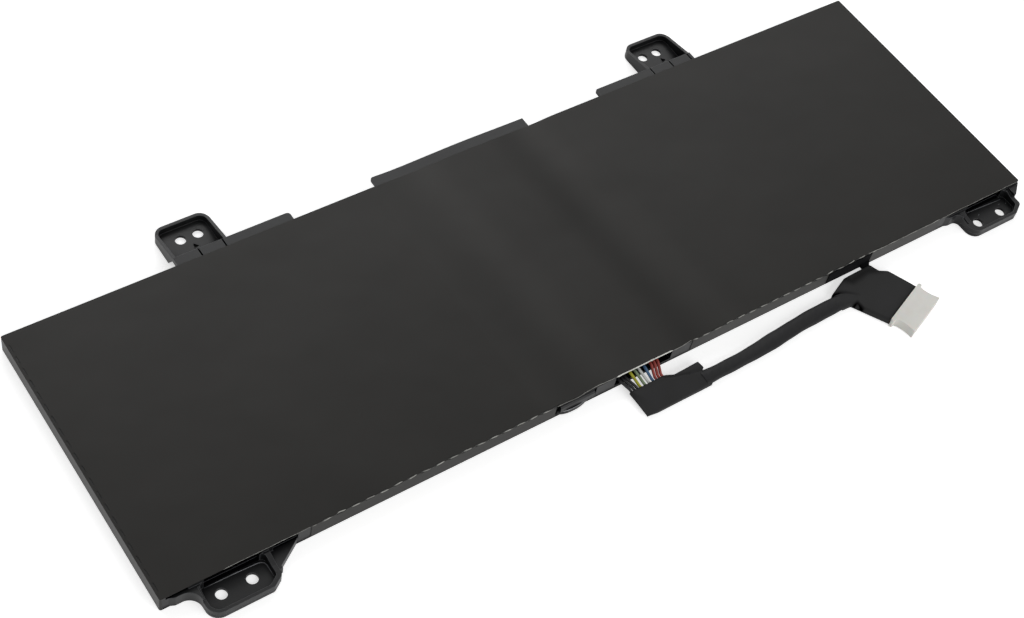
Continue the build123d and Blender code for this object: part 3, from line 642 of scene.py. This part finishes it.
# Harness sleeve: a flattened tube of woven polyester over the ten wires, laid along the front edge to the
# plug, with both ends under the cloth tape. Its dull threads cross it in slanting lines, drawn a little over
# a millimetre apart, which is coarser than the real weave, so that they show.
sleeve_width = 4.0 * mm
sleeve_height = 2.0 * mm
sleeve_centre = 1.17 * mm
sleeve_places = [(14.0, -49.2), (25.5, -49.15), (37.5, -48.4), (49.5, -47.2), (60.2, -47.15)]
sleeve_curve = bpy.data.curves.new("sleeve_route", "CURVE")
sleeve_curve.dimensions = "3D"
sleeve_curve.resolution_u = 24
spline = sleeve_curve.splines.new("NURBS")
spline.points.add(len(sleeve_places) - 1)
for point, (x, y) in zip(spline.points, sleeve_places):
    point.co = (x * mm, y * mm, sleeve_centre, 1)
spline.order_u = 3
spline.use_endpoint_u = True
sleeve_route = bpy.data.objects.new("sleeve_route", sleeve_curve)
bpy.context.scene.collection.objects.link(sleeve_route)
bpy.context.view_layer.update()
route_mesh = bpy.data.meshes.new_from_object(sleeve_route)
sleeve_path = [v.co.copy() for v in route_mesh.vertices]
bpy.data.objects.remove(sleeve_route)
sleeve_length = sum((b - a).length for a, b in zip(sleeve_path, sleeve_path[1:]))


def at_length(path, distance):
    """Point and direction of a path at a distance along it."""
    for a, b in zip(path, path[1:]):
        step = (b - a).length
        if distance <= step or b is path[-1]:
            return a + (b - a) * (distance / step), (b - a).normalized()
        distance -= step


sleeve_tuck = 1.6 * mm
sleeve_run_on = 2.6 * mm
start_width = 0.9
widening, widening_share = 0.2, 0.5
mouth_flare, mouth_share = 0.14, 0.09
highest_swell = 1.03
end_flattening = 0.25
section_squareness = 0.75


def sleeve_tube(stations, sides):
    """Mesh tube of the sleeve: an oval that swells and flattens a little as the wires inside cross over.

    It starts tucked under the exit's tape, with a flared mouth, widens until half way, and runs on flatter
    under the plug's tape. Its UV map "weave" runs from 0 to 1 round it and along it.
    """
    mesh = bmesh.new()
    uv = mesh.loops.layers.uv.new("weave")
    rings = []
    for station in range(stations + 1):
        distance = station / stations * (sleeve_tuck + sleeve_length + sleeve_run_on) - sleeve_tuck
        share = min(max(distance / sleeve_length, 0), 1)
        centre, along = at_length(sleeve_path, distance)
        across = Vector((-along.y, along.x, 0))
        mouth = mouth_flare * max(1 - share / mouth_share, 0) ** 2
        spreading = start_width + widening * min(share / widening_share, 1.0) + mouth
        unevenness = 0.03 * math.sin(share * 17) + 0.015 * math.sin(share * 41 + 1)
        wide = sleeve_width / 2 * (spreading + unevenness)
        tall = sleeve_height / 2 * min(1 + 0.05 * math.sin(share * 13 + 2), highest_swell)
        tall *= 1 - end_flattening * max(distance - sleeve_length, 0) / sleeve_run_on
        ring = []
        for side in range(sides):
            angle = 2 * math.pi * side / sides
            ridge = 1 + 0.02 * math.cos(5 * angle + share * 9)
            lift = Vector((0, 0, 1)) * squared(math.sin(angle), section_squareness) * tall * ridge
            ring.append(mesh.verts.new(centre + across * math.cos(angle) * wide * ridge + lift))
        rings.append(ring)
    for station, row in enumerate(join_rings(mesh, rings)):
        for side, face in enumerate(row):
            corners = (
                (side, station),
                (side, station + 1),
                (side + 1, station + 1),
                (side + 1, station),
            )
            for corner, (around, along_sleeve) in zip(face.loops, corners):
                corner[uv].uv = (around / sides, along_sleeve / stations)
    return finished_tube("woven_sleeve", mesh)


sleeve = sleeve_tube(stations=150, sides=28)
sleeve_weave = mottled(
    "woven_polyester_sleeve",
    "#121214",
    "#171718",
    patch=4 * mm,
    grain=0.3 * mm,
    relief=0.01 * mm,
    roughness=0.55,
    IOR=1.57,
    Specular_IOR_Level=0.16,
)
threads_around = 9.0
thread_spacing = 0.9 * mm
thread_slant = math.radians(12)
weave_place = add_node(
    sleeve_weave,
    "ShaderNodeMapping",
    Vector=add_node(sleeve_weave, "ShaderNodeUVMap", {"uv_map": "weave"}).outputs["UV"],
    Scale=(threads_around, sleeve_length / thread_spacing, 1.0),
    Rotation=(0, 0, thread_slant),
)
weave_lines = add_node(
    sleeve_weave,
    "ShaderNodeTexWave",
    {"wave_type": "BANDS", "bands_direction": "DIAGONAL"},
    Vector=weave_place.outputs["Vector"],
    Scale=0.35,
    Distortion=0.6,
)
thread_relief = 0.03 * mm
weave_bump = add_node(
    sleeve_weave, "ShaderNodeBump", Height=weave_lines.outputs["Fac"], Strength=1.0, Distance=thread_relief
)
lay_under_grain(sleeve_weave, weave_bump)
dress(sleeve, sleeve_weave)
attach(sleeve, "root")
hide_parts("harness_sleeve")

# Plug: a ten-way housing of natural nylon, moulded in one piece with a flange where the tape ends.
# Nylon is an off-white, slightly waxy plastic that light enters a little way, with softly rounded edges.
plug_edge_round = 0.16 * mm
plug = joined_copy("connector_housing", "plug_housing")
apply_modifier(
    plug,
    "BEVEL",
    width=plug_edge_round,
    segments=2,
    limit_method="ANGLE",
    angle_limit=math.radians(40),
    use_clamp_overlap=True,
)
bpy.ops.object.shade_smooth_by_angle(angle=math.radians(35))
natural_nylon = mottled(
    "moulded_natural_nylon",
    "#e6e5df",
    "#dedcd5",
    patch=6 * mm,
    grain=0.35 * mm,
    relief=0.006 * mm,
    roughness=0.4,
    IOR=1.53,
    Subsurface_Weight=0.15,
    Subsurface_Scale=0.6 * mm,
)
dress(plug, natural_nylon)
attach(plug, "root")
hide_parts("connector_housing")
tin_plate = mottled(
    "tin_plated_phosphor_bronze",
    "#b5b3ae",
    "#a3a09a",
    patch=1.2 * mm,
    grain=0.1 * mm,
    relief=0.002 * mm,
    roughness=0.25,
    Metallic=1.0,
)
dress(nodes["connector_contacts"], tin_plate)

# Films: the upper one follows the cells and the board and folds down over the walls, the lower one is flat.
# Both are black PET film with a matt face and adhesive below, cut and folded along perforations, so the
# surface is faintly uneven and its rounded edges catch the light. The thin light lines along the upper film's
# front edge are painted highlights.
film_edge_round = 0.14 * mm
film_specular = 0.13
matt_film = mottled(
    "matt_black_pet_film",
    "#1c1b19",
    "#201f1d",
    patch=34 * mm,
    grain=0.5 * mm,
    relief=0.004 * mm,
    roughness=0.4,
    IOR=1.57,
    Specular_IOR_Level=film_specular,
)
film_glint = add_node(matt_film, "ShaderNodeBevel", {"samples": 6}, Radius=film_edge_round)
film_wave_length = 26 * mm
film_wave_height = 0.35 * mm
film_waves = add_node(
    matt_film,
    "ShaderNodeTexNoise",
    Vector=add_node(matt_film, "ShaderNodeTexCoord").outputs["Object"],
    Scale=1 / film_wave_length,
    Detail=2.0,
)
film_unevenness = add_node(
    matt_film,
    "ShaderNodeBump",
    Height=film_waves.outputs["Fac"],
    Strength=1.0,
    Distance=film_wave_height,
    Normal=film_glint.outputs["Normal"],
)
lay_under_grain(matt_film, film_unevenness)

# Painted light: where the film is drawn over the ridge of the board's foam, it is drawn paler and glossier
# on the two crests and darker between them, standing for its sheen. The bands run from the back to the
# front, leaning a little to the right.
film_place = add_node(
    matt_film,
    "ShaderNodeSeparateXYZ",
    Vector=add_node(matt_film, "ShaderNodeTexCoord").outputs["Object"],
)
band_lean = 0.067
band_span = 60 * mm
even_painted_light = 0.5
band_painted_light = {-32: 0.5, -24: 0.36, -12: 1.0, -3: 0.6, 5: 0.45, 13: 0.0, 24: 0.92, 33: 0.5}
darkest_gain, palest_gain = 0.84, 1.16
across_bands = add_node(
    matt_film,
    "ShaderNodeMath",
    {"operation": "MULTIPLY_ADD"},
    _0=film_place.outputs["Y"],
    _1=band_lean,
    _2=film_place.outputs["X"],
)
band_position = add_node(
    matt_film, "ShaderNodeMapRange", Value=across_bands.outputs[0], From_Min=-band_span, From_Max=band_span
)
painted_light_bands = add_node(matt_film, "ShaderNodeValToRGB", Fac=band_position.outputs["Result"])
painted_light_bands.color_ramp.interpolation = "EASE"
stops = painted_light_bands.color_ramp.elements
for end_stop in stops:
    end_stop.color = (even_painted_light, even_painted_light, even_painted_light, 1)
for band_x, band_light in band_painted_light.items():
    stop = stops.new(0.5 + band_x * mm / (2 * band_span))
    stop.color = (band_light, band_light, band_light, 1)
painted_light_gain = add_node(
    matt_film,
    "ShaderNodeMapRange",
    Value=painted_light_bands.outputs["Color"],
    To_Min=darkest_gain,
    To_Max=palest_gain,
)
film_shader = part_of(matt_film, "ShaderNodeBsdfPrincipled")
film_painted_light_colour = add_node(
    matt_film,
    "ShaderNodeVectorMath",
    {"operation": "SCALE"},
    _0=part_of(matt_film, "ShaderNodeMix").outputs[2],
    Scale=painted_light_gain.outputs["Result"],
)
film_painted_sheen = add_node(
    matt_film,
    "ShaderNodeMath",
    {"operation": "MULTIPLY"},
    _0=painted_light_gain.outputs["Result"],
    _1=film_specular,
)
matt_film.node_tree.links.new(film_painted_light_colour.outputs["Vector"], film_shader.inputs["Base Color"])
matt_film.node_tree.links.new(film_painted_sheen.outputs[0], film_shader.inputs["Specular IOR Level"])
dress(nodes["top_film"], matt_film)
dress(nodes["bottom_film"], matt_film)

# Front edge of the upper film: a narrow rounded line of painted highlight, for the light caught by the cut
# and folded edge. It wanders by up to 0.3 mm along the perforated folds, where the dashes break it up, and it
# is widest and palest over the wire exit, where the film's cut edge shows with the adhesive below it; the
# pale colour there is partly that edge and adhesive and partly painted highlight.


def smooth_step(value, start, end):
    """Rises softly from 0 at the start to 1 at the end."""
    t = min(max((value - start) / (end - start), 0), 1)
    return t * t * (3 - 2 * t)


front_edge_y = -40.0
probe_y = -39.4
probe_height = 20
station_step = 0.32
bead_sink = 0.02
end_fade = (-0.4, 1.0)
dash_pitch = 3.84
first_dash = -91.5
dash_softness = 0.45


def film_edge(name, x0, x1, thickness, wander, dash_depth):
    """Half-sunk bead along the film's front top edge, in millimetres from x0 to x1.

    The film's height is probed just behind the edge. The bead wanders back or down by up to the distance
    given, thins towards its ends, and between the dashes it is thinner by the share dash_depth.
    """
    stations = int((x1 - x0) / station_step)
    centres = []
    radii = []
    for index in range(stations + 1):
        x = x0 + (x1 - x0) * index / stations
        above = Vector((x, probe_y, probe_height)) * mm
        film_height = nodes["top_film"].ray_cast(above, Vector((0, 0, -1)))[1].z / mm
        long_sway = 1.7 * noise.noise(Vector((x / 3.4, 4.7, 0.2)))
        short_sway = 0.5 * noise.noise(Vector((x / 1.1, 0.7, 9.2)))
        shift = wander * min(max(long_sway + short_sway, -1), 1)
        back, down = max(shift, 0), min(shift, 0)
        centres.append(Vector((x, front_edge_y + back, film_height - bead_sink + down)) * mm)
        fade = smooth_step(min(x - x0, x1 - x), *end_fade)
        wave = math.cos(2 * math.pi * (x - first_dash) / dash_pitch)
        dash = 1 - dash_depth * (1 - smooth_step(wave, -dash_softness, dash_softness))
        rough = 1 + 0.35 * noise.noise(Vector((x / 0.9, 2.2, 5.1)))
        radii.append(thickness / 2 * fade * dash * rough * mm)
    piece = bead(name, centres, radii)
    return piece


# Painted highlight: the film's edge beads are drawn pale grey.
film_edge_painted_highlight = mottled(
    "pet_film_edge_painted_highlight",
    "#74746f",
    "#a4a49e",
    patch=3.5 * mm,
    grain=0.3 * mm,
    relief=0.01 * mm,
    roughness=0.45,
    IOR=1.57,
)
# Painted highlight over the exit, paler still, partly the cut edge and adhesive.
exit_edge_painted_highlight = mottled(
    "cut_film_edge_and_adhesive_painted_highlight",
    "#c9c9c2",
    "#ecece6",
    patch=2.5 * mm,
    grain=0.3 * mm,
    relief=0.01 * mm,
    roughness=0.35,
    IOR=1.5,
)
for name, x0, x1, thickness, wander, dash_depth in (
    ("film_edge_left_ear", -118.0, -95.6, 0.1, 0.06, 0.0),
    ("film_edge_left_fold", -95.4, -27.2, 0.24, 0.22, 0.94),
    ("film_edge_clip", -27.0, -8.9, 0.13, 0.3, 0.0),
    ("film_edge_right_of_exit", 9.0, 15.4, 0.16, 0.28, 0.0),
    ("film_edge_right_fold", 15.6, 75.4, 0.22, 0.2, 0.94),
    ("film_edge_right_end", 75.6, 102.6, 0.16, 0.14, 0.3),
    ("film_edge_right_ear", 102.8, 132.9, 0.1, 0.06, 0.0),
):
    dress(film_edge(name, x0, x1, thickness, wander, dash_depth), film_edge_painted_highlight)
dress(film_edge("film_edge_exit", -8.9, 9.0, 0.34, 0.06, 0.0), exit_edge_painted_highlight)

# Cloth tape wraps: black acetate cloth tape folded over the wires at the exit and behind the plug. Its layers
# make soft pads, with creases drawn near black and glossless as painted shade where the tape is pinched,
# and a thin flap at the left of the exit. The weave is matt and fine, with about 4 threads a millimetre.
cloth_specular = 0.25
cloth_tape = mottled(
    "acetate_cloth_tape",
    "#191919",
    "#1d1d1e",
    patch=7 * mm,
    grain=0.6 * mm,
    relief=0.02 * mm,
    roughness=0.7,
    IOR=1.48,
    Specular_IOR_Level=cloth_specular,
)
thread_pitch = 0.25 * mm
unscaled_band = 0.314
warp_threads = add_node(
    cloth_tape,
    "ShaderNodeTexWave",
    {"wave_type": "BANDS", "bands_direction": "X"},
    Vector=add_node(cloth_tape, "ShaderNodeTexCoord").outputs["Object"],
    Scale=unscaled_band / thread_pitch,
    Distortion=0.4,
)
warp_relief = 0.012 * mm
warp_bump = add_node(
    cloth_tape, "ShaderNodeBump", Height=warp_threads.outputs["Fac"], Strength=0.6, Distance=warp_relief
)
lay_under_grain(cloth_tape, warp_bump)
# Painted shade: the tape is drawn near black and without gloss in its creases.
crease_shade_mask = add_node(cloth_tape, "ShaderNodeAttribute", {"attribute_name": "pressed"}).outputs["Fac"]
crease_painted_shade = add_node(
    cloth_tape,
    "ShaderNodeMix",
    {"data_type": "RGBA"},
    _0=crease_shade_mask,
    _6=part_of(cloth_tape, "ShaderNodeMix").outputs[2],
    _7=linear("#020202"),
)
crease_shade_gloss = add_node(
    cloth_tape, "ShaderNodeMapRange", Value=crease_shade_mask, To_Min=cloth_specular, To_Max=0.0
)
cloth_shader = part_of(cloth_tape, "ShaderNodeBsdfPrincipled")
cloth_tape.node_tree.links.new(crease_painted_shade.outputs[2], cloth_shader.inputs["Base Color"])
cloth_tape.node_tree.links.new(crease_shade_gloss.outputs["Result"], cloth_shader.inputs["Specular IOR Level"])


def folded_pad(node_name, piece_name):
    """Soft pad with a CAD node's outline: remeshed finely and smoothed, so that its edges are round."""
    pad = joined_copy(node_name, piece_name)
    apply_modifier(pad, "REMESH", mode="VOXEL", voxel_size=0.2 * mm, use_smooth_shade=True)
    apply_modifier(pad, "SMOOTH", factor=0.5, iterations=2)
    pad.data.attributes.new("pressed", "FLOAT", "POINT")
    dress(pad, cloth_tape)
    return pad


crease_floor = 0.45
pad_top = 2.2
most_pressing = 0.95
darkest_sinking = 0.7


def press_crease(pad, places, depth, spread, end_depth=1.0):
    """Sinks the upper face along a line of places, given as X and the distance in front of the front edge.

    The crease is as deep as given at its first place, and at its last place only the share end_depth of it.
    The attribute "pressed" is painted shade: how dark the tape is drawn, from 0 open to 1 in a deep crease.
    """
    line = [Vector((x, front_edge_y - distance)) for x, distance in places]
    pressed = pad.data.attributes["pressed"].data
    for vertex in pad.data.vertices:
        if vertex.co.z < crease_floor * mm:
            continue
        spot = Vector((vertex.co.x, vertex.co.y)) / mm
        nearest, along_line = math.inf, 0
        for index, (a, b) in enumerate(zip(line, line[1:])):
            run = b - a
            t = min(max((spot - a).dot(run) / run.length_squared, 0), 1)
            distance = (spot - (a + run * t)).length
            if distance < nearest:
                nearest, along_line = distance, (index + t) / (len(line) - 1)
        sinking = depth * (1 + (end_depth - 1) * along_line) * math.exp(-((nearest / spread) ** 2))
        share = min(sinking / (pad_top - crease_floor), most_pressing)
        vertex.co.z -= (vertex.co.z - crease_floor * mm) * share
        pressed[vertex.index].value = max(pressed[vertex.index].value, min(sinking / darkest_sinking, 1))


upper_face = 1.2 * mm
least_hugging = 0.12


def ruffle(vertex, wave_x, wave_y, seed, height):
    """Raises or sinks a vertex of a pad's upper face a little, in soft waves of the lengths given."""
    if vertex.co.z > upper_face:
        sway = noise.noise(Vector((vertex.co.x / (wave_x * mm), vertex.co.y / (wave_y * mm), seed)))
        vertex.co.z += height * mm * sway - height / 2 * mm


def hug_sleeve(vertex, sleeve_y, half_width, fullness, closing):
    """Draws a vertex of a pad's upper face down round the sleeve, by a share from 0 to 1."""
    if vertex.co.z > sleeve_centre:
        beside_sleeve = min(abs(vertex.co.y / mm - sleeve_y) / half_width, 1)
        hugging = max(fullness * (1 - beside_sleeve**2) ** (section_squareness / 2), least_hugging)
        vertex.co.z += (vertex.co.z - sleeve_centre) * (hugging - 1) * closing


# The exit's wrap thins towards the front, its left end is a flap of a few layers, and its right end closes
# on the sleeve. Distances forwards are taken from the middle of the pack, and X from its middle too.
exit_closing_x, exit_closing_forward = (10.2, 13.6), (46.7, 47.5)
thin_from, thin_run, thin_share, thin_above = 46.0, 5.6, 0.4, 0.5
flap_height = 1.5
flap_share = 0.25
flap_start, flap_end_behind, flap_end_shift = -7.2, -6.0, 3.2
flap_forward = (44.5, 50.0)
exit_pad = folded_pad("exit_wrap", "exit_tape_pad")
for vertex in exit_pad.data.vertices:
    ruffle(vertex, wave_x=5, wave_y=3, seed=0.3, height=0.08)
    x, forward = vertex.co.x / mm, -vertex.co.y / mm
    closing = smooth_step(x, *exit_closing_x) * smooth_step(forward, *exit_closing_forward)
    thinning = min(max((forward - thin_from) / thin_run, 0), 1) * (1 - closing)
    vertex.co.z -= thin_share * thinning * max(vertex.co.z - thin_above * mm, 0)
    flap_end = flap_end_behind + flap_end_shift * smooth_step(forward, *flap_forward)
    flap = flap_share + (1 - flap_share) * smooth_step(x, flap_start, flap_end)
    vertex.co.z = flap_height * mm + (vertex.co.z - flap_height * mm) * flap
    hug_sleeve(vertex, sleeve_places[0][1], half_width=2.12, fullness=0.92, closing=closing)
press_crease(exit_pad, [(3.4, 4.3), (5.4, 5.2), (10.0, 6.5)], depth=0.22, spread=0.35)
press_crease(exit_pad, [(10.0, 6.5), (14.0, 6.9)], depth=0.12, spread=0.5)

# The plug's wrap closes on the sleeve at its left end, where the tape is pinched in two places beside it, and
# a soft hollow runs along its back.
plug_open_x, plug_closing_forward = (60.4, 63.2), (45.3, 46.1)
plug_pad = folded_pad("plug_wrap", "plug_tape_pad")
for vertex in plug_pad.data.vertices:
    ruffle(vertex, wave_x=6, wave_y=6, seed=2.7, height=0.12)
    x, forward = vertex.co.x / mm, -vertex.co.y / mm
    closing = (1 - smooth_step(x, *plug_open_x)) * smooth_step(forward, *plug_closing_forward)
    hug_sleeve(vertex, sleeve_places[-1][1], half_width=2.25, fullness=0.9, closing=closing)
for places, depth, spread, end_depth in (
    ([(59.0, 5.1), (60.4, 4.75), (62.0, 4.9)], 1.5, 0.33, 0.5),
    ([(62.0, 4.9), (63.6, 5.7), (66.3, 8.0)], 0.5, 0.45, 0.2),
    ([(61.2, 10.9), (62.6, 10.2), (64.4, 9.8)], 1.6, 0.36, 0.4),
    ([(64.3, 13.0), (64.4, 11.4), (64.4, 9.8)], 1.5, 0.33, 0.3),
    ([(66.8, 2.0), (67.9, 3.5), (73.6, 2.8), (77.2, 4.2)], 0.33, 1.3, 1.0),
):
    press_crease(plug_pad, places, depth, spread, end_depth)
for pad, node_name in ((exit_pad, "exit_wrap"), (plug_pad, "plug_wrap")):
    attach(pad, "root")
    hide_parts(node_name)

# Retaining tape: a short length of cloth tape on the front wall, whose end folds out over the plug's wrap.
# It is pressed flat, and it is drawn a deeper black and less glossy than the folded pads, as painted shade.
retaining_tape_painted_shade = mottled(
    "acetate_cloth_tape_painted_shade",
    "#08080a",
    "#0d0d0f",
    patch=3 * mm,
    grain=0.5 * mm,
    relief=0.05 * mm,
    roughness=0.85,
    IOR=1.48,
    Specular_IOR_Level=0.08,
)
dress(nodes["retaining_tape"], retaining_tape_painted_shade)

# Studio: a pale floor, an even white surround and three large soft lamps, two behind the pack and one in
# front. The floor and the surround are white to the camera and in gloss, and dimmer as light on the pack.


def seen_ray(owner):
    """Socket that is 1 for rays from the camera, off gloss or through glass, and 0 for all others."""
    ray = add_node(owner, "ShaderNodeLightPath")
    direct = add_node(
        owner,
        "ShaderNodeMath",
        {"operation": "MAXIMUM"},
        _0=ray.outputs["Is Camera Ray"],
        _1=ray.outputs["Is Glossy Ray"],
    )
    seen = add_node(
        owner,
        "ShaderNodeMath",
        {"operation": "MAXIMUM"},
        _0=direct.outputs[0],
        _1=ray.outputs["Is Transmission Ray"],
    )
    return seen.outputs[0]


bpy.ops.object.select_all(action="DESELECT")
bpy.ops.mesh.primitive_plane_add(size=6.0, location=(0, 0, -0.1 * mm))
floor = bpy.context.object
floor.name = "studio_floor"
pale_floor = mottled(
    "pale_studio_floor",
    "#f4f4f4",
    "#f1f1f1",
    patch=400 * mm,
    grain=5 * mm,
    relief=0.01 * mm,
    roughness=0.9,
)
floor_shader = part_of(pale_floor, "ShaderNodeBsdfPrincipled")
floor_shader.inputs["Emission Color"].default_value = (1, 1, 1, 1)
glow_strength = 0.6
floor_glow = add_node(
    pale_floor, "ShaderNodeMath", {"operation": "MULTIPLY"}, _0=seen_ray(pale_floor), _1=glow_strength
)
pale_floor.node_tree.links.new(floor_glow.outputs[0], floor_shader.inputs["Emission Strength"])
dress(floor, pale_floor)


def softbox(name, place, size, watts):
    """Large soft area lamp that points at the middle of the pack."""
    data = bpy.data.lights.new(name, "AREA")
    data.shape = "RECTANGLE"
    data.size, data.size_y = size
    data.energy = watts
    lamp = bpy.data.objects.new(name, data)
    lamp.location = Vector(place)
    lamp.rotation_mode = "QUATERNION"
    lamp.rotation_quaternion = (-Vector(place)).to_track_quat("-Z", "Y")
    bpy.context.scene.collection.objects.link(lamp)


softbox("back_softbox", place=(-0.05, 0.85, 0.75), size=(1.0, 0.6), watts=2.7)
softbox("right_back_softbox", place=(0.5, 0.9, 0.8), size=(1.0, 0.6), watts=3.7)
softbox("front_softbox", place=(0.1, -0.9, 0.5), size=(0.9, 0.6), watts=5.4)

world = bpy.data.worlds.new("studio_world")
bpy.context.scene.world = world
world.use_nodes = True
background = world.node_tree.nodes["Background"]
background.inputs["Color"].default_value = (1, 1, 1, 1)
world_strength = add_node(world, "ShaderNodeMapRange", Value=seen_ray(world), To_Min=0.25, To_Max=1.0)
world.node_tree.links.new(world_strength.outputs["Result"], background.inputs["Strength"])
